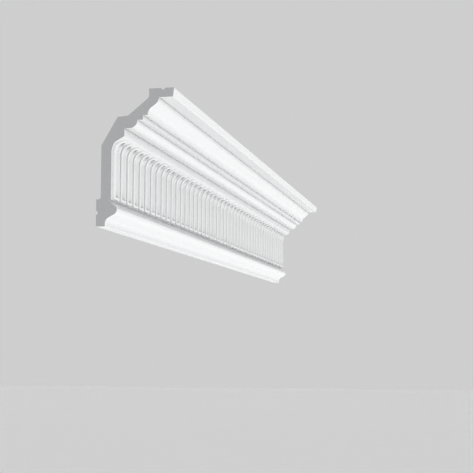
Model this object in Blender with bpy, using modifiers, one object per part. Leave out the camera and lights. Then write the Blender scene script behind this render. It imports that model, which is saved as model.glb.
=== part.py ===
"""Cornice moulding length: one straight length of fluted ceiling cornice, cut
square at both ends.

Rigid foam moulding with a hollow back: a wall foot with a glue groove and a
bottom ogee, an upright frieze carrying a row of round headed flutes, a flat
band, an ovolo, a step, a large ogee and a top fascia with a ceiling face.

Frame: X runs along the moulding, +Y points at the wall, +Z is up.
The origin is on the wall face, at mid length, in the middle of the flat strip
under the glue groove.
"""
import math

import bmesh
import bpy
from mathutils import Matrix

MM = 0.001

# ---- driving dimensions, in millimetres -----------------------------------
HEIGHT = 150.0            # on the wall
PROJECTION = 87.2         # out along the ceiling
FLUTES = 46               # whole flutes in this length
FLUTE_PITCH = 22.5
FLUTE_GAP = 4.0           # plain ground between two flutes
LENGTH = FLUTES * FLUTE_PITCH + FLUTE_GAP

# back of the section
WALL_FOOT_TOP = 30.2      # top of the face that is glued to the wall
BACK_RELIEF = 4.1         # the back stands off the wall above that
BACK_KNEE_Z = 89.6
SHELF_P, SHELF_Z = 22.7, 121.2
ELBOW_P, ELBOW_Z = 34.8, 122.1
CEILING_FOOT_P = 58.0     # inner edge of the face that is glued to the ceiling
CEILING_FOOT_KNEE_Z = 140.8
GLUE_GROOVE_W = 4.7
GLUE_GROOVE_DEPTH = 2.0
WALL_GROOVE_Z = 15.0
CEILING_GROOVE_P = 74.7

# front of the section, bottom to top
FOOT_FACE_P = 10.1        # thickness at the bottom edge
FOOT_HOLLOW_Z, FOOT_HOLLOW_R = 7.5, 7.5
NOSE_P = 23.65            # bottom ogee's nose
NOSE_LOW_Z, NOSE_LOW_R = 14.7, 5.9
NOSE_TOP_Z, NOSE_TOP_R = 19.85, 3.0
QUIRK_P, QUIRK_Z = 15.9, 27.3
SLOT_P = 14.9             # the shadow gap under the frieze reaches in to here
SLOT_LOW_Z, SLOT_TOP_Z = 27.55, 28.95
FRIEZE_P = 16.7           # ground of the frieze
FRIEZE_FOOT_Z = 29.1
COVE_KNEE_Z, COVE_R = 87.1, 21.0
COVE_TOP_P, COVE_TOP_Z = 20.4, 92.5
BAND_P = 31.2
BAND_FOOT_Z, BAND_TOP_Z = 98.6, 107.3
OVOLO_P, OVOLO_R = 45.85, 8.2
STEP_P = 52.3
STEP_FOOT_Z, STEP_TOP_Z = 116.1, 121.0
OGEE_IN_P, OGEE_OUT_P = 57.6, 70.2
OGEE_LOW_Z, OGEE_LOW_R = 126.45, 9.8
OGEE_HIGH_Z, OGEE_HIGH_R = 135.4, 8.9
SOFFIT_Z = 140.0
FASCIA_FOOT_P = 86.0      # the fascia leans out a little towards the top

# flutes: a raised border around a scooped channel
FLUTE_RELIEF = 3.0
FLUTE_HALF_W = (FLUTE_PITCH - FLUTE_GAP) / 2.0
FLUTE_FOOT_Z = 29.9
FLUTE_SPRING_Z = 87.2     # where the round head begins
FLUTE_HEAD_Z = 94.6
HEAD_LIFT = 2.4           # the head runs out into the cove above it
BORDER_W = 3.5
BORDER_ROUND_W = 1.2      # rounded outer side of the border
CHANNEL_FOOT_Z = 33.1
CHANNEL_HEAD_Z = 93.45
CHANNEL_DEPTH = 2.7
CHANNEL_SIDE_W = 2.6      # sloped side of the scoop, seen from the front
RAISED_TOP_Z, RAISED_R = 94.8, 13.8
BEDDED = 1.2              # how far a flute reaches into the body behind it

# the origin's height above the moulding's lower edge
ORIGIN_UP = (WALL_GROOVE_Z - GLUE_GROOVE_W / 2.0) / 2.0


# ---- outline helpers -------------------------------------------------------
def rounded(corners, seg_angle=13.0):
    """Open outline through corners (p, z, radius): a corner with a radius is
    replaced by its fillet arc."""
    out = []
    for i, (p, z, r) in enumerate(corners):
        if r <= 0.0 or i in (0, len(corners) - 1):
            out.append((p, z))
            continue
        p0, z0, _ = corners[i - 1]
        p1, z1, _ = corners[i + 1]
        a = math.atan2(z - z0, p - p0)
        b = math.atan2(z1 - z, p1 - p)
        turn = (b - a + math.pi) % (2.0 * math.pi) - math.pi
        reach = r * math.tan(abs(turn) / 2.0)
        sp, sz = p - reach * math.cos(a), z - reach * math.sin(a)
        side = 1.0 if turn > 0.0 else -1.0
        cp, cz = sp - side * r * math.sin(a), sz + side * r * math.cos(a)
        steps = max(2, int(math.ceil(abs(math.degrees(turn)) / seg_angle)))
        for k in range(steps + 1):
            t = a + turn * k / steps
            out.append((cp + side * r * math.sin(t), cz - side * r * math.cos(t)))
    return out


def half_round(p, z, width, depth, direction, steps=6):
    """Glue groove: an arc of that width and depth let into a straight edge.
    direction is the way the outline runs, the groove lies on its left."""
    r = (width * width / 4.0 + depth * depth) / (2.0 * depth)
    half = math.asin(width / 2.0 / r)
    du, dv = direction
    out = []
    for k in range(steps + 1):
        t = -half + 2.0 * half * k / steps
        along, inward = r * math.sin(t), r * math.cos(t) - (r - depth)
        out.append((p + along * du - inward * dv, z + along * dv + inward * du))
    return out


def section_outline():
    """The whole cross-section, counter-clockwise in (p, z): p is the
    projection from the wall, z the height above the lower edge."""
    front = rounded([
        (0.0, 0.0, 0.0),
        (FOOT_FACE_P, 0.0, 0.0),
        (FOOT_FACE_P, FOOT_HOLLOW_Z, FOOT_HOLLOW_R),
        (NOSE_P, NOSE_LOW_Z, NOSE_LOW_R),
        (NOSE_P, NOSE_TOP_Z, NOSE_TOP_R),
        (QUIRK_P, QUIRK_Z, 0.0),
        (SLOT_P, SLOT_LOW_Z, 0.0),
        (SLOT_P, SLOT_TOP_Z, 0.0),
        (FRIEZE_P, FRIEZE_FOOT_Z, 0.0),
        (FRIEZE_P, COVE_KNEE_Z, COVE_R),
        (COVE_TOP_P, COVE_TOP_Z, 0.0),
        (BAND_P, BAND_FOOT_Z, 0.0),
        (BAND_P, BAND_TOP_Z, 0.0),
        (OVOLO_P, BAND_TOP_Z, OVOLO_R),
        (OVOLO_P, STEP_FOOT_Z, 0.0),
        (STEP_P, STEP_FOOT_Z, 0.0),
        (STEP_P, STEP_TOP_Z, 0.0),
        (OGEE_IN_P, STEP_TOP_Z, 0.0),
        (OGEE_IN_P, OGEE_LOW_Z, OGEE_LOW_R),
        (OGEE_OUT_P, OGEE_HIGH_Z, OGEE_HIGH_R),
        (OGEE_OUT_P, SOFFIT_Z, 0.0),
        (FASCIA_FOOT_P, SOFFIT_Z, 0.0),
        (PROJECTION, HEIGHT, 0.0),
    ])
    ceiling = half_round(CEILING_GROOVE_P, HEIGHT, GLUE_GROOVE_W,
                         GLUE_GROOVE_DEPTH, (-1.0, 0.0))
    back = rounded([
        (PROJECTION, HEIGHT, 0.0),
        (CEILING_FOOT_P, HEIGHT, 0.0),
        (CEILING_FOOT_P, CEILING_FOOT_KNEE_Z, 5.0),
        (ELBOW_P, ELBOW_Z, 3.0),
        (SHELF_P, SHELF_Z, 1.0),
        (BACK_RELIEF, BACK_KNEE_Z, 0.0),
        (BACK_RELIEF, WALL_FOOT_TOP + 1.0, 0.0),
        (0.0, WALL_FOOT_TOP, 0.0),
    ], 20.0)[1:]
    wall = half_round(0.0, WALL_GROOVE_Z, GLUE_GROOVE_W,
                      GLUE_GROOVE_DEPTH, (0.0, -1.0))
    return front + ceiling + back + wall


def value_at(line, z):
    """p of an outline that climbs steadily, at height z."""
    for (p0, z0), (p1, z1) in zip(line, line[1:]):
        if z0 <= z <= z1:
            return p0 + (p1 - p0) * (z - z0) / (z1 - z0) if z1 > z0 else p0
    return line[0][0] if z < line[0][1] else line[-1][0]


GROUND = rounded([(FRIEZE_P, FRIEZE_FOOT_Z, 0.0), (FRIEZE_P, COVE_KNEE_Z, COVE_R),
                  (COVE_TOP_P, COVE_TOP_Z, 0.0), (BAND_P, BAND_FOOT_Z, 0.0)])
RAISED = rounded([(FRIEZE_P + FLUTE_RELIEF, FLUTE_FOOT_Z - 1.0, 0.0),
                  (FRIEZE_P + FLUTE_RELIEF, RAISED_TOP_Z, RAISED_R),
                  (FRIEZE_P + FLUTE_RELIEF + RAISED_R + 0.5, RAISED_TOP_Z + 0.002, 0.0)], 6.0)


def outward(z):
    """Unit normal (p, z) of the raised surface at height z."""
    dp = value_at(RAISED, z + 0.3) - value_at(RAISED, z - 0.3)
    length = math.hypot(dp, 0.6)
    return 0.6 / length, -dp / length


def under(z):
    """Where the wall under the raised point at height z meets the ground: it
    stands square to the raised surface. Returns p, z and the wall's height."""
    p, (np_, nz) = value_at(RAISED, z), outward(z)
    low, high = 0.0, 2.5 * FLUTE_RELIEF
    for _ in range(30):
        mid = (low + high) / 2.0
        if p - mid * np_ > value_at(GROUND, z - mid * nz):
            low = mid
        else:
            high = mid
    return p - low * np_, z - low * nz, low


def flute_outline(inset):
    """Front view of a flute's outline, drawn in from its edge by inset: up
    the left side, over the round head and down the right side, with how much
    each point belongs to the head."""
    part = min(1.0, inset / BORDER_W)
    foot = FLUTE_FOOT_Z + part * (CHANNEL_FOOT_Z - FLUTE_FOOT_Z)
    head = FLUTE_HEAD_Z + part * (CHANNEL_HEAD_Z - FLUTE_HEAD_Z)
    extra = max(0.0, inset - BORDER_W)
    foot, head = foot + extra * 0.28, head - extra * 0.42
    half = FLUTE_HALF_W - inset
    rise = head - FLUTE_SPRING_Z
    left = [(-half, z, 0.0) for z in (foot, 82.5, 85.0, FLUTE_SPRING_Z)]
    arc = []
    for k in range(1, 8):
        high = math.sin(math.pi * k / 8.0)
        arc.append((-half * math.cos(math.pi * k / 8.0), FLUTE_SPRING_Z + rise * high, high ** 2))
    right = [(-x, z, w) for x, z, w in reversed(left)]
    return left + arc + right


def foot_ring(sunk):
    """Where the flute's outer wall meets the body, moved into it by sunk. The
    head's wall is drawn out over the cove."""
    out = []
    for x, z, head in flute_outline(0.0):
        p0, z0, _ = under(z)
        np_, nz = outward(z)
        lifted = z + HEAD_LIFT * head
        z1 = z0 + (lifted - z0) * head
        p1 = p0 if head == 0.0 else value_at(GROUND, z1)
        out.append((x, p1 - sunk * np_, z1 - sunk * nz))
    return out


def wall_ring(inset, share, way):
    """The outer wall at a share of the relief; at the head, that part of the
    way from the cove to the border."""
    low = foot_ring(0.0)
    crest = [(x, value_at(RAISED, z), z) for x, z, _ in flute_outline(BORDER_W)]
    out = []
    for i, (x, z, head) in enumerate(flute_outline(inset)):
        p0, z0, _ = under(z)
        p1, z1 = p0 + share * (value_at(RAISED, z) - p0), z0 + share * (z - z0)
        a, b = low[i], crest[i]
        swell = 0.35 * math.sin(math.pi * way)
        slope = (a[0] + (b[0] - a[0]) * way, a[1] + (b[1] - a[1]) * way + swell,
                 a[2] + (b[2] - a[2]) * way)
        out.append((x + (slope[0] - x) * head, p1 + (slope[1] - p1) * head,
                    z1 + (slope[2] - z1) * head))
    return out


def sunk_ring(inset, depth):
    """Points inside the border, sunk square to the raised surface."""
    out = []
    for x, z, _ in flute_outline(inset):
        np_, nz = outward(z)
        out.append((x, value_at(RAISED, z) - depth * np_, z - depth * nz))
    return out


# ---- objects ---------------------------------------------------------------
def new_collection(name):
    coll = bpy.data.collections.new(name)
    bpy.context.scene.collection.children.link(coll)
    return coll


def extruded(name, outline, half_length, coll):
    """Flat outline in (p, z), extruded both ways along X, as a mesh."""
    curve = bpy.data.curves.new(name + "_outline", "CURVE")
    curve.dimensions = "2D"
    curve.fill_mode = "BOTH"
    curve.extrude = half_length * MM
    spline = curve.splines.new("POLY")
    spline.points.add(len(outline) - 1)
    for point, (p, z) in zip(spline.points, outline):
        point.co = (p * MM, z * MM, 0.0, 1.0)
    spline.use_cyclic_u = True
    drawn = bpy.data.objects.new(name + "_outline", curve)
    coll.objects.link(drawn)
    # local x is the projection (-Y), local y is up
    drawn.matrix_world = Matrix(((0.0, 0.0, -1.0, 0.0),
                                 (-1.0, 0.0, 0.0, 0.0),
                                 (0.0, 1.0, 0.0, -ORIGIN_UP * MM),
                                 (0.0, 0.0, 0.0, 1.0)))
    bpy.context.view_layer.update()
    graph = bpy.context.evaluated_depsgraph_get()
    mesh = bpy.data.meshes.new_from_object(drawn.evaluated_get(graph))
    mesh.name = name
    mesh.transform(drawn.matrix_world)
    solid = bpy.data.objects.new(name, mesh)
    coll.objects.link(solid)
    bpy.data.objects.remove(drawn)
    bm = bmesh.new()
    bm.from_mesh(mesh)
    bmesh.ops.remove_doubles(bm, verts=bm.verts, dist=0.00001)
    bmesh.ops.dissolve_limit(bm, angle_limit=0.001, verts=bm.verts, edges=bm.edges)
    bmesh.ops.recalc_face_normals(bm, faces=bm.faces)
    bm.to_mesh(mesh)
    bm.free()
    return solid


def flute_solid(name, coll):
    """One flute, lofted between its outlines: bedded back edge, foot of the
    rounded outer wall, its top, inner edge of the border, floor of the scoop."""
    lines = [
        foot_ring(BEDDED),
        wall_ring(0.0, 0.6, 0.3),
        wall_ring(BORDER_ROUND_W, 0.97, 0.7),
        sunk_ring(BORDER_W, 0.0),
        sunk_ring(BORDER_W + CHANNEL_SIDE_W, CHANNEL_DEPTH),
    ]
    rings = [[(x * MM, -p * MM, (z - ORIGIN_UP) * MM) for x, p, z in line] for line in lines]
    mesh = bpy.data.meshes.new(name)
    bm = bmesh.new()
    loops = [[bm.verts.new(co) for co in ring] for ring in rings]
    count = len(loops[0])
    for low, high in zip(loops, loops[1:]):
        for i in range(count):
            j = (i + 1) % count
            bm.faces.new((low[i], low[j], high[j], high[i]))
    for loop, flip in ((loops[0], True), (loops[-1], False)):
        for i in range(count // 2):
            k = count - 1 - i
            if k - 1 > i + 1:
                quad = (loop[i], loop[i + 1], loop[k - 1], loop[k])
            else:
                quad = (loop[i], loop[i + 1], loop[k])
            bm.faces.new(quad if flip else tuple(reversed(quad)))
            if k - 1 <= i + 1:
                break
    bmesh.ops.recalc_face_normals(bm, faces=bm.faces)
    bm.to_mesh(mesh)
    bm.free()
    flute = bpy.data.objects.new(name, mesh)
    coll.objects.link(flute)
    flute.location.x = (-LENGTH / 2.0 + FLUTE_GAP + FLUTE_HALF_W) * MM
    row = flute.modifiers.new("row", "ARRAY")
    row.count = FLUTES
    row.use_relative_offset = False
    row.use_constant_offset = True
    row.constant_offset_displace = (FLUTE_PITCH * MM, 0.0, 0.0)
    return flute


def primed_foam():
    mat = bpy.data.materials.new("primed_white_foam")
    mat.use_nodes = True
    shader = mat.node_tree.nodes["Principled BSDF"]
    shader.inputs["Base Color"].default_value = (0.84, 0.84, 0.83, 1.0)
    shader.inputs["Roughness"].default_value = 0.55
    shader.inputs["Metallic"].default_value = 0.0
    return mat


def main():
    for obj in list(bpy.data.objects):
        bpy.data.objects.remove(obj)
    parts = new_collection("cornice_moulding_length")
    tools = new_collection("cutters")

    cornice = extruded("cornice", section_outline(), LENGTH / 2.0, parts)
    flutes = flute_solid("flute_row", tools)
    flutes.hide_render = True
    flutes.display_type = "WIRE"

    join = cornice.modifiers.new("flutes", "BOOLEAN")
    join.operation = "UNION"
    join.solver = "EXACT"
    join.object = flutes
    cornice.data.materials.append(primed_foam())


main()
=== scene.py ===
import math

import bmesh
import bpy
import numpy as np
from mathutils import Matrix, Vector


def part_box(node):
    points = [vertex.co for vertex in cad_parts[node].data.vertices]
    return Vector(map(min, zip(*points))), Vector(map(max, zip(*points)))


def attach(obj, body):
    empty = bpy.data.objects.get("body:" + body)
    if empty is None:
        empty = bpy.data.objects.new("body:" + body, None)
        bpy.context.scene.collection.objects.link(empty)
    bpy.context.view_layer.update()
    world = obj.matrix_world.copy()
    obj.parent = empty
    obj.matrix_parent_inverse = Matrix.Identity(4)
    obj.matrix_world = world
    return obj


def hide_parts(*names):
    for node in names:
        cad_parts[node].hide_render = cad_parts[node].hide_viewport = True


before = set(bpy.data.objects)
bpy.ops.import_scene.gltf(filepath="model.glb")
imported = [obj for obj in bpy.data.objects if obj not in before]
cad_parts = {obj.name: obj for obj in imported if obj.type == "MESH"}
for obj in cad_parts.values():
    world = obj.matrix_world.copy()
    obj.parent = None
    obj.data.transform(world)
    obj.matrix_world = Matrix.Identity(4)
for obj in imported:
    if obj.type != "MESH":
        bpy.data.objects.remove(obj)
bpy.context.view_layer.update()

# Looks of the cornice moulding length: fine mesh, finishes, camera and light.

MM = 0.001
cad_lo, cad_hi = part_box("cornice")

# ---- sizes, in millimetres, as in the solid --------------------------------
HEIGHT = 150.0
PROJECTION = 87.2
FLUTES = 46
PITCH = 22.5
GAP = 4.0
LENGTH = FLUTES * PITCH + GAP
HALF_LENGTH = LENGTH / 2.0
FLUTE_HALF_W = (PITCH - GAP) / 2.0
ORIGIN_UP = (15.0 - 4.7 / 2.0) / 2.0

FRIEZE_P, FRIEZE_FOOT_Z = 16.7, 29.1
SLOT_P = 14.9            # the shadow gap under the frieze reaches in to here
COVE_KNEE_Z, COVE_R = 87.1, 21.0
COVE_TOP = (20.4, 92.5)
BAND_P, BAND_FOOT_Z, BAND_TOP_Z = 31.2, 98.6, 107.3

RELIEF = 3.0
FLUTE_FOOT_Z, SPRING_Z, FLUTE_HEAD_Z = 29.9, 87.2, 94.6
RAISED_CREST_Z, RAISED_R = 94.8, 13.8
BORDER_W = 3.5
CREST_D = 2.4            # the border's crest, from the flute's outer edge
HEAD_LIFT = 2.4          # the head runs out into the cove above it
CHANNEL_FOOT_Z, CHANNEL_HEAD_Z = 33.1, 93.45
CHANNEL_DEPTH = 2.7
FOOT_DEPTH, HEAD_DEPTH = 0.6, 1.15   # the channel is that much deeper at its two ends
QUIRK = 0.5              # the crisp line where a soffit meets an upright face
SKIN_EDGE = 1.0          # the denser skin seen along the back of a cut


# ---- outlines ----------------------------------------------------------------
def rounded(corners, seg_angle=7.5, inset=0.0):
    """Open outline through corners (p, z, radius), each corner's fillet as an
    arc. With an inset, the same points moved that far to the left, inside the
    solid."""
    out = []
    for i, (p, z, r) in enumerate(corners):
        p0, z0, _ = corners[max(i - 1, 0)]
        p1, z1, _ = corners[min(i + 1, len(corners) - 1)]
        b = math.atan2(z1 - z, p1 - p) if i < len(corners) - 1 else math.atan2(z - z0, p - p0)
        a = math.atan2(z - z0, p - p0) if i else b
        turn = (b - a + math.pi) % (2.0 * math.pi) - math.pi
        share = inset / (1.0 + math.cos(turn))
        mitre = (p - share * (math.sin(a) + math.sin(b)), z + share * (math.cos(a) + math.cos(b)))
        if r <= 0.0 or i in (0, len(corners) - 1):
            out.append(mitre)
            continue
        reach = r * math.tan(abs(turn) / 2.0)
        sp, sz = p - reach * math.cos(a), z - reach * math.sin(a)
        side = 1.0 if turn > 0.0 else -1.0
        cp, cz = sp - side * r * math.sin(a), sz + side * r * math.cos(a)
        limit = seg_angle if r > 1.0 else 24.0
        steps = max(3, int(math.ceil(abs(math.degrees(turn)) / limit)))
        arc = r - side * inset
        for k in range(steps + 1):
            t = a + turn * k / steps
            if arc < 0.05:
                out.append(mitre)
            else:
                out.append((cp + side * arc * math.sin(t), cz - side * arc * math.cos(t)))
    return out


def half_round(p, z, width, depth, direction, steps=14):
    """A glue groove let into the straight edge that runs in direction."""
    r = (width * width / 4.0 + depth * depth) / (2.0 * depth)
    half = math.asin(width / 2.0 / r)
    du, dv = direction
    out = []
    for k in range(steps + 1):
        t = -half + 2.0 * half * k / steps
        along, inward = r * math.sin(t), r * math.cos(t) - (r - depth)
        out.append((p + along * du - inward * dv, z + along * dv + inward * du))
    return out


BACK = [
    (70.0, HEIGHT, 0.0),
    (58.0, HEIGHT, 0.5),
    (58.0, 140.8, 5.0),
    (34.8, 122.1, 3.0),
    (22.7, 121.2, 1.0),
    (4.1, 89.6, 2.0),
    (4.1, 31.3, 1.4),
    (0.0, 30.2, 0.3),
    (0.0, 20.0, 0.0),
]


def quirk(p, z, size=QUIRK):
    """A fine groove in the corner where an upright face ends under a soffit."""
    return [(p, z + size, 0.0), (p + 0.8 * size, z + size, 0.0), (p + 1.3 * size, z, 0.0)]


def plain_outline():
    """The section from the top of the frieze round over the fascia, the
    ceiling face, the back, the wall foot and the bottom ogee to the foot of
    the frieze. Returns the points and where the back starts and ends."""
    upper = rounded([
        (COVE_TOP[0], COVE_TOP[1], 0.0),
        (BAND_P, BAND_FOOT_Z, 0.5),
        *quirk(BAND_P, BAND_TOP_Z, 1.6 * QUIRK),
        (45.85, BAND_TOP_Z, 8.2),
        *quirk(45.85, 116.1),
        (52.3, 116.1, 0.45),
        *quirk(52.3, 121.0),
        (57.6, 121.0, 0.45),
        (57.6, 126.45, 9.8),
        (70.2, 135.4, 8.9),
        *quirk(70.2, 140.0),
        (86.0, 140.0, 0.6),
        (PROJECTION, HEIGHT, 0.5),
        (80.0, HEIGHT, 0.0),
    ])[1:-1]
    ceiling = half_round(74.7, HEIGHT, 4.7, 2.0, (-1.0, 0.0))
    back = rounded(BACK)[1:-1]
    wall = half_round(0.0, 15.0, 4.7, 2.0, (0.0, -1.0))
    lower = rounded([
        (0.0, 10.0, 0.0),
        (0.0, 0.0, 0.3),
        (10.1, 0.0, 0.4),
        (10.1, 7.5, 7.5),
        (23.65, 14.7, 5.9),
        (23.65, 19.85, 3.0),
        (15.9, 27.3, 0.2),
        (SLOT_P, 27.55, 0.4),
        (SLOT_P, 28.95, 0.4),
        (FRIEZE_P, FRIEZE_FOOT_Z, 0.2),
        (FRIEZE_P, 60.0, 0.0),
    ])[1:-1]
    points = upper + ceiling + back + wall + lower
    first = len(upper) + len(ceiling)
    last = first + len(back) - 1
    return points, first, last


OUTLINE, BACK_FIRST, BACK_LAST = plain_outline()
FRIEZE_TOP_Z = OUTLINE[0][1]
FRIEZE_LOW_Z = OUTLINE[-1][1]

GROUND = rounded([(FRIEZE_P, 20.0, 0.0), (FRIEZE_P, COVE_KNEE_Z, 20.0),
                  (COVE_TOP[0] + 0.05, COVE_TOP[1] + 0.05, 1.6),
                  (BAND_P, BAND_FOOT_Z, 0.0)], 3.0)
RAISED = rounded([(FRIEZE_P + RELIEF, 20.0, 0.0), (FRIEZE_P + RELIEF, RAISED_CREST_Z, RAISED_R),
                  (FRIEZE_P + RELIEF + RAISED_R + 0.5, RAISED_CREST_Z + 0.002, 0.0)], 3.0)
GROUND_Z, GROUND_P = np.array([z for _, z in GROUND]), np.array([p for p, _ in GROUND])
RAISED_Z, RAISED_P = np.array([z for _, z in RAISED]), np.array([p for p, _ in RAISED])


def ground(z):
    return np.interp(z, GROUND_Z, GROUND_P)


def raised(z):
    return np.interp(z, RAISED_Z, RAISED_P)


def outward(z):
    """Unit normal (p, z) of the raised surface, smooth round the cove."""
    dp = raised(z + 0.3) - raised(z - 0.3)
    length = np.hypot(dp, 0.6)
    return 0.6 / length, -dp / length


def bed(z):
    """Where the wall under the raised point at height z meets the ground: the
    wall stands square to the raised surface."""
    z = np.asarray(z, float)
    p, (np_, nz) = raised(z), outward(z)
    low, high = np.zeros_like(z), np.full_like(z, 2.5 * RELIEF)
    for _ in range(40):
        mid = (low + high) / 2.0
        clear = p - mid * np_ > ground(z - mid * nz)
        low, high = np.where(clear, mid, low), np.where(clear, high, mid)
    return p - low * np_, z - low * nz


# ---- one bay of the frieze -----------------------------------------------------
ARC = 32
SIDE_Z = (45.0, 60.0, 72.0, 79.0, 80.8, 82.1, 83.4, 84.7, 86.0, SPRING_Z)
CORNER = 4
BOTTOM = 4


def ring(d):
    """Front view (x, z) of the flute's outline, d inside its edge. It starts
    at the middle of the foot and runs up the left side."""
    half = FLUTE_HALF_W - d
    if d <= BORDER_W:
        part = d / BORDER_W
        foot = FLUTE_FOOT_Z + (part if d > 0.0 else 0.4 * part) * (CHANNEL_FOOT_Z - FLUTE_FOOT_Z)
        head = FLUTE_HEAD_Z + part * (CHANNEL_HEAD_Z - FLUTE_HEAD_Z)
        corner = 0.5 + 0.9 * max(0.0, part)
    else:
        w = (d - BORDER_W) / (FLUTE_HALF_W - BORDER_W)
        foot = CHANNEL_FOOT_Z + 1.6 * w
        head = CHANNEL_HEAD_Z - 2.4 * w
        corner = 1.4
    corner = min(corner, 0.8 * half)
    left = [(-(half - corner) * k / BOTTOM, foot) for k in range(BOTTOM + 1)]
    left += [(-(half - corner) - corner * math.sin(math.pi / 2 * k / CORNER),
              foot + corner * (1.0 - math.cos(math.pi / 2 * k / CORNER)))
             for k in range(1, CORNER + 1)]
    left += [(-half, z) for z in SIDE_Z]
    rise = head - SPRING_Z
    arc = [(-half * math.cos(math.pi * k / ARC), SPRING_Z + rise * math.sin(math.pi * k / ARC))
           for k in range(1, ARC)]
    right = [(-x, z) for x, z in reversed(left)][:-1]
    return np.array(left + arc + right)


def weights():
    """How much each point of a ring belongs to the head and to the foot."""
    foot = [1.0] * (BOTTOM + 1) + [math.cos(math.pi / 2 * k / CORNER) for k in range(1, CORNER + 1)]
    foot += [0.0] * len(SIDE_Z)
    arc = [math.sin(math.pi * k / ARC) ** 2 for k in range(1, ARC)]
    head = [0.0] * len(foot) + arc + [0.0] * (len(foot) - 1)
    foot = foot + [0.0] * len(arc) + foot[::-1][:-1]
    return np.array(head), np.array(foot)


HEAD, FOOT = weights()

# wall and border of the flute: distance inside its outer edge; share of the
# relief along the sides and at the foot; way from the cove to the crest at the head
BORDER = (
    (-0.45, 0.00, 0.00, 0.00), (-0.20, 0.03, 0.03, 0.10), (0.00, 0.12, 0.15, 0.20),
    (0.10, 0.52, 0.74, 0.29), (0.25, 0.66, 0.87, 0.39), (0.50, 0.78, 0.94, 0.50),
    (0.90, 0.88, 0.98, 0.62), (1.40, 0.95, 1.00, 0.75), (1.90, 0.985, 1.00, 0.88),
    (CREST_D, 1.0, 1.0, 1.0), (2.80, 1.0, 1.0, 1.0), (3.15, 0.985, 0.985, 1.0), (3.40, 0.94, 0.94, 1.0),
)


def bay_edge():
    """The bay's own rectangle, point for point with ring()."""
    edge = PITCH / 2.0
    low, top = FRIEZE_LOW_Z, FRIEZE_TOP_Z - 0.1
    left = [(-edge * k / BOTTOM, low + 0.08) for k in range(BOTTOM + 1)]
    left += [(-edge, low + 0.08 + rise) for rise in (0.5, 1.1, 1.9)]
    left += [(-edge, 33.0)]
    left += [(-edge, z) for z in SIDE_Z]
    side = ARC // 4
    arc = [(-edge, SPRING_Z + (top - SPRING_Z) * k / side) for k in range(1, side + 1)]
    arc += [(-edge + 2.0 * edge * k / (ARC // 2), top) for k in range(1, ARC // 2 + 1)]
    arc += [(edge, top - (top - SPRING_Z) * k / side) for k in range(1, side)]
    right = [(-x, z) for x, z in reversed(left)][:-1]
    return np.array(left + arc + right)


def scoop(w):
    """Depth of the channel at w from its edge, in a round-bottomed cut."""
    half = FLUTE_HALF_W - BORDER_W
    r = (half * half + CHANNEL_DEPTH ** 2) / (2.0 * CHANNEL_DEPTH)
    return math.sqrt(max(0.0, r * r - (half - w) ** 2)) - (r - CHANNEL_DEPTH)


def on_flute(xz, rise):
    """Points over the ring xz, at a share of the flute's relief."""
    x, z = xz[:, 0], xz[:, 1]
    bed_p, bed_z = bed(z)
    top_p = raised(z)
    return np.column_stack([x, bed_p + rise * (top_p - bed_p), bed_z + rise * (z - bed_z)])


def in_channel(w):
    """The ring w inside the channel's edge, sunk square to the raised surface.
    Both ends are deeper and start with a steeper wall than the long sides."""
    xz = ring(BORDER_W + w)
    x, z = xz[:, 0], xz[:, 1]
    np_, nz = outward(z)
    ends = np.maximum(HEAD, FOOT)
    smooth = scoop(w) if w > 0.6 else (0.3 + 0.7 * max(w, -0.12) / 0.6) * scoop(0.6)
    steep = CHANNEL_DEPTH * (1.0 - math.exp(-(w + 0.2) / 0.5))
    near = (FOOT_DEPTH * np.exp(-((z - CHANNEL_FOOT_Z) / 4.5) ** 2)
            + HEAD_DEPTH * np.exp(-((CHANNEL_HEAD_Z - z) / 3.6) ** 2))
    depth = (smooth + (max(steep, smooth) - smooth) * ends) * (1.0 + near)
    return np.column_stack([x, raised(z) - depth * np_, z - depth * nz])


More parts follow.
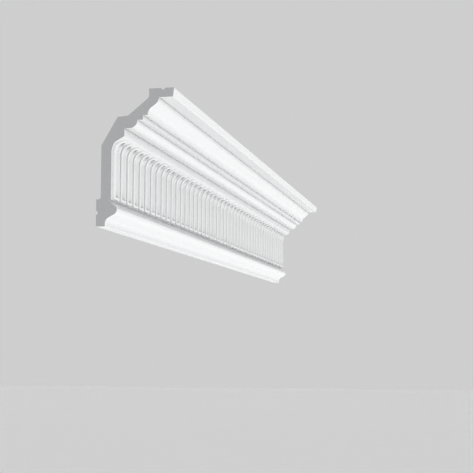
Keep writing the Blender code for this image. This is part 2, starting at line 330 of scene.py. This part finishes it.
def bay():
    """Vertices (x, p, z) and faces of one bay."""
    outer = bay_edge()
    rim = ring(BORDER[0][0])
    low = on_flute(rim, np.zeros(len(rim)))
    lifted = rim[:, 1] + HEAD_LIFT * HEAD
    cove = np.column_stack([rim[:, 0], ground(lifted), lifted])
    skirt = low + (cove - low) * HEAD[:, None]
    skirt[:, 1] = ground(skirt[:, 2])
    crest = on_flute(ring(CREST_D), np.ones(len(rim)))
    rings = []
    for t in (0.0, 0.3, 0.6, 0.85):
        xz = outer + (skirt[:, (0, 2)] - outer) * t
        rings.append(np.column_stack([xz[:, 0], ground(xz[:, 1]), xz[:, 1]]))
    for d, side, foot, way in BORDER:
        wall = on_flute(ring(d), side + (foot - side) * FOOT)
        if d < CREST_D:
            slope = skirt + (crest - skirt) * way
            slope[:, 1] += 0.35 * math.sin(math.pi * way)
            wall = wall + (slope - wall) * HEAD[:, None]
        rings.append(wall)
    half = FLUTE_HALF_W - BORDER_W
    for w in (-0.04, 0.2, 0.6, 1.1, 1.7, 2.4, 3.2, 4.2, half - 0.3):
        rings.append(in_channel(w))
    count = len(rings[0])
    verts = np.vstack(rings)
    faces = []
    for r in range(len(rings) - 1):
        a, b = r * count, (r + 1) * count
        for i in range(count):
            j = (i + 1) % count
            faces.append((a + i, b + i, b + j, a + j))
    # the scoop's floor, closed across its middle line
    a = (len(rings) - 1) * count
    for i in range(count // 2):
        li, lj = i, i + 1
        ri, rj = (count - i) % count, count - i - 1
        corners = []
        for v in (li, lj, rj, ri):
            if a + v not in corners:
                corners.append(a + v)
        if len(corners) > 2:
            faces.append(tuple(reversed(corners)))
    # flat strips above and below, from many points to the bay's two corners
    edge = PITCH / 2.0
    extra = [(-edge, float(ground(FRIEZE_TOP_Z)), FRIEZE_TOP_Z), (edge, float(ground(FRIEZE_TOP_Z)), FRIEZE_TOP_Z),
             (-edge, FRIEZE_P, FRIEZE_LOW_Z), (edge, FRIEZE_P, FRIEZE_LOW_Z)]
    base = len(verts)
    verts = np.vstack([verts, np.array(extra)])
    first = BOTTOM + CORNER + len(SIDE_Z) + ARC // 4
    top_row = list(range(first, first + ARC // 2 + 1))
    faces.append(tuple([base, base + 1] + [i for i in reversed(top_row)]))
    low_row = [(-i) % count for i in range(BOTTOM, -BOTTOM - 1, -1)]
    faces.append(tuple([base + 3, base + 2] + [(-i) % count for i in low_row]))
    side = list(range(BOTTOM, first + 1))
    return verts, faces, [tuple(verts[base + 2])] + [tuple(verts[i]) for i in side] + [tuple(verts[base])]


def build_mesh(name):
    bay_verts, bay_faces, side_line = bay()
    verts, faces, mats = [], [], []

    def add(points, quads, mat=0):
        start = len(verts)
        verts.extend(points)
        faces.extend(tuple(start + i for i in f) for f in quads)
        mats.extend([mat] * len(quads))

    first_x = -HALF_LENGTH + GAP / 2.0 + PITCH / 2.0
    for k in range(FLUTES):
        moved = bay_verts + np.array([first_x + k * PITCH, 0.0, 0.0])
        add([tuple(v) for v in moved], bay_faces)
    # plain ends of the frieze, beside the first and the last flute
    for x0, x1 in ((-HALF_LENGTH, -HALF_LENGTH + GAP / 2.0), (HALF_LENGTH - GAP / 2.0, HALF_LENGTH)):
        for (_, p0, z0), (_, p1, z1) in zip(side_line, side_line[1:]):
            add([(x0, p0, z0), (x1, p0, z0), (x1, p1, z1), (x0, p1, z1)], [(0, 1, 2, 3)])
    # everything outside the frieze
    columns = ([-HALF_LENGTH] + [-HALF_LENGTH + GAP / 2.0 + PITCH * k for k in range(FLUTES + 1)]
               + [HALF_LENGTH])
    rows = [[(x, p, z) for x in columns] for p, z in OUTLINE]
    width = len(columns)
    flat = [v for row in rows for v in row]
    add(flat, [(r * width + c, r * width + c + 1, (r + 1) * width + c + 1, (r + 1) * width + c)
               for r in range(len(rows) - 1) for c in range(width - 1)])
    # cut ends: a thin edge of skin along the back, the foam core inside it
    closed = list(OUTLINE) + [(p, z) for _, p, z in side_line[1:-1]]
    skin = rounded(BACK, inset=SKIN_EDGE)[1:-1]
    core = closed[:BACK_FIRST + 1] + skin + closed[BACK_LAST:]
    for x, order in ((-HALF_LENGTH, -1), (HALF_LENGTH, 1)):
        for k, (near, far) in enumerate(zip(skin, skin[1:])):
            i = BACK_FIRST + k
            quad = [(x, p, z) for p, z in (closed[i], closed[i + 1], far, near)]
            add(quad, [(0, 1, 2, 3)[::order]], 2)
        add([(x, p, z) for p, z in core], [tuple(range(len(core)))[::order]], 1)

    mesh = bpy.data.meshes.new(name)
    co = np.array(verts, float)
    world = np.column_stack([co[:, 0], -co[:, 1], co[:, 2] - ORIGIN_UP]) * MM
    mesh.from_pydata([tuple(v) for v in world], [], faces)
    mesh.polygons.foreach_set("material_index", np.array(mats, np.int32))
    bm = bmesh.new()
    bm.from_mesh(mesh)
    bmesh.ops.remove_doubles(bm, verts=bm.verts, dist=0.000012)
    wide = [f for f in bm.faces if len(f.verts) > 12]
    bmesh.ops.triangulate(bm, faces=wide, ngon_method="BEAUTY")
    bmesh.ops.recalc_face_normals(bm, faces=bm.faces)
    open_edges = [e for e in bm.edges if len(e.link_faces) != 2]
    print("cornice mesh:", len(bm.verts), "vertices,", len(bm.faces), "faces,",
          sum(len(f.verts) - 2 for f in bm.faces), "triangles,", len(open_edges), "open edges")
    bm.to_mesh(mesh)
    bm.free()
    return mesh


# ---- finishes --------------------------------------------------------------------
def node(tree, kind, **values):
    n = tree.nodes.new(kind)
    for key, value in values.items():
        if key in n.inputs:
            n.inputs[key].default_value = value
        else:
            setattr(n, key, value)
    return n


def finish_material(name, colour, colour_2, roughness, tone_scale, grain_scale, bump_mm, spread=0.5):
    """Painted or cut foam: a slow drift of tone, a fine grain in colour and
    roughness, and the same grain as bump."""
    mat = bpy.data.materials.new(name)
    mat.use_nodes = True
    tree = mat.node_tree
    links = tree.links
    shader = tree.nodes["Principled BSDF"]
    shader.inputs["Specular IOR Level"].default_value = 0.25
    coords = node(tree, "ShaderNodeTexCoord")
    drift = node(tree, "ShaderNodeTexNoise", Scale=tone_scale, Detail=3.0, Roughness=0.5)
    grain = node(tree, "ShaderNodeTexNoise", Scale=grain_scale, Detail=4.0, Roughness=0.6)
    links.new(coords.outputs["Object"], drift.inputs["Vector"])
    links.new(coords.outputs["Object"], grain.inputs["Vector"])
    both = node(tree, "ShaderNodeMath", operation="MULTIPLY_ADD")
    both.inputs[1].default_value = spread
    links.new(grain.outputs["Fac"], both.inputs[0])
    scaled = node(tree, "ShaderNodeMath", operation="MULTIPLY")
    scaled.inputs[1].default_value = 1.0 - spread
    links.new(drift.outputs["Fac"], scaled.inputs[0])
    links.new(scaled.outputs[0], both.inputs[2])
    ramp = node(tree, "ShaderNodeValToRGB")
    ramp.color_ramp.elements[0].position = 0.3
    ramp.color_ramp.elements[0].color = (*colour_2, 1.0)
    ramp.color_ramp.elements[1].position = 0.7
    ramp.color_ramp.elements[1].color = (*colour, 1.0)
    links.new(both.outputs[0], ramp.inputs["Fac"])
    links.new(ramp.outputs["Color"], shader.inputs["Base Color"])
    rough = node(tree, "ShaderNodeMapRange")
    rough.inputs["To Min"].default_value = roughness - 0.06
    rough.inputs["To Max"].default_value = roughness + 0.06
    links.new(grain.outputs["Fac"], rough.inputs["Value"])
    links.new(rough.outputs[0], shader.inputs["Roughness"])
    bump = node(tree, "ShaderNodeBump", Strength=1.0, Distance=bump_mm * MM)
    links.new(grain.outputs["Fac"], bump.inputs["Height"])
    links.new(bump.outputs["Normal"], shader.inputs["Normal"])
    return mat


# ---- the piece ----------------------------------------------------------------------
mesh = build_mesh("cornice_length")
cornice = bpy.data.objects.new("cornice_length", mesh)
bpy.context.scene.collection.objects.link(cornice)
mesh.materials.append(finish_material("primed_skin", (0.713, 0.716, 0.718), (0.704, 0.707, 0.709), 0.6, 6.0, 900.0, 0.002))
mesh.materials.append(finish_material("foam_core", (0.502, 0.505, 0.509), (0.482, 0.485, 0.489), 0.8, 25.0, 1800.0, 0.05))
mesh.materials.append(finish_material("skin_edge", (0.63, 0.63, 0.63), (0.6, 0.6, 0.6), 0.6, 20.0, 1500.0, 0.03))
mesh.shade_smooth()
mesh.set_sharp_from_angle(angle=math.radians(50.0))
smooth = cornice.modifiers.new("even_shading", "WEIGHTED_NORMAL")
smooth.mode = "FACE_AREA"
smooth.keep_sharp = True
smooth.weight = 50
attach(cornice, "root")
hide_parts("cornice")

# ---- floor ---------------------------------------------------------------------------
FLOOR_Z = -2.3
floor_mesh = bpy.data.meshes.new("floor")
floor_mesh.from_pydata([(x, y, FLOOR_Z) for x, y in ((-60, -60), (60, -60), (60, 60), (-60, 60))], [],
                       [(0, 1, 2, 3)])
floor = bpy.data.objects.new("floor", floor_mesh)
bpy.context.scene.collection.objects.link(floor)
floor_mesh.materials.append(finish_material("pale_floor", (0.705, 0.705, 0.705), (0.695, 0.695, 0.695), 0.9, 2.0, 60.0, 0.05))
# the floor is only seen: the light from below stands for a bright room
floor.visible_diffuse = floor.visible_glossy = floor.visible_shadow = False

# ---- camera --------------------------------------------------------------------------
yaw, pitch, roll = math.radians(12.695), math.radians(5.834), math.radians(0.11)
forward = Vector((math.cos(pitch) * math.cos(yaw), math.cos(pitch) * math.sin(yaw), math.sin(pitch)))
right = forward.cross(Vector((0, 0, 1))).normalized()
up = right.cross(forward)
right, up = (right * math.cos(roll) + up * math.sin(roll), up * math.cos(roll) - right * math.sin(roll))
cam_data = bpy.data.cameras.new("camera")
cam_data.sensor_width = 36.0
cam_data.lens = 83.95
cam_data.clip_start = 0.05
camera = bpy.data.objects.new("camera", cam_data)
bpy.context.scene.collection.objects.link(camera)
place = Matrix((right, up, -forward)).transposed().to_4x4()
place.translation = Vector((-HALF_LENGTH - 1130.2, -411.5, -132.5 - ORIGIN_UP)) * MM
camera.matrix_world = place
bpy.context.scene.camera = camera

# ---- light ----------------------------------------------------------------------------
AMBIENT = 1.11
BACKDROP = 0.785

world = bpy.data.worlds.new("studio")
bpy.context.scene.world = world
world.use_nodes = True
tree = world.node_tree
light = tree.nodes["Background"]
light.inputs["Color"].default_value = (1.0, 1.0, 1.0, 1.0)
light.inputs["Strength"].default_value = AMBIENT
seen = node(tree, "ShaderNodeBackground", Strength=BACKDROP)
seen.inputs["Color"].default_value = (1.0, 1.0, 1.0, 1.0)
path = node(tree, "ShaderNodeLightPath")
mix = node(tree, "ShaderNodeMixShader")
tree.links.new(path.outputs["Is Camera Ray"], mix.inputs["Fac"])
tree.links.new(light.outputs[0], mix.inputs[1])
tree.links.new(seen.outputs[0], mix.inputs[2])
tree.links.new(mix.outputs[0], tree.nodes["World Output"].inputs["Surface"])


def softbox(name, direction, distance, size, power):
    """A round soft light, placed along direction from the moulding's near
    half and turned to it."""
    data = bpy.data.lights.new(name, "AREA")
    data.shape = "DISK"
    data.size = size
    data.energy = power
    lamp = bpy.data.objects.new(name, data)
    bpy.context.scene.collection.objects.link(lamp)
    away = Vector(direction).normalized()
    lamp.location = Vector((-0.3, -0.04, 0.07)) + away * distance
    lamp.rotation_euler = away.to_track_quat("Z", "Y").to_euler()
    lamp.visible_camera = False
    return lamp


softbox("softbox_below", (0.3, -0.53, -0.79), 8.0, 4.6, 161.0)
softbox("softbox_side", (-0.99, -0.1, 0.0), 2.6, 1.4, 9.0)
softbox("softbox_front", (0.0, -0.98, 0.17), 2.6, 1.4, 3.5)

scene = bpy.context.scene
scene.view_settings.view_transform = "Standard"
scene.view_settings.look = "None"
scene.view_settings.exposure = 0.0
scene.view_settings.gamma = 0.5

bpy.context.view_layer.update()
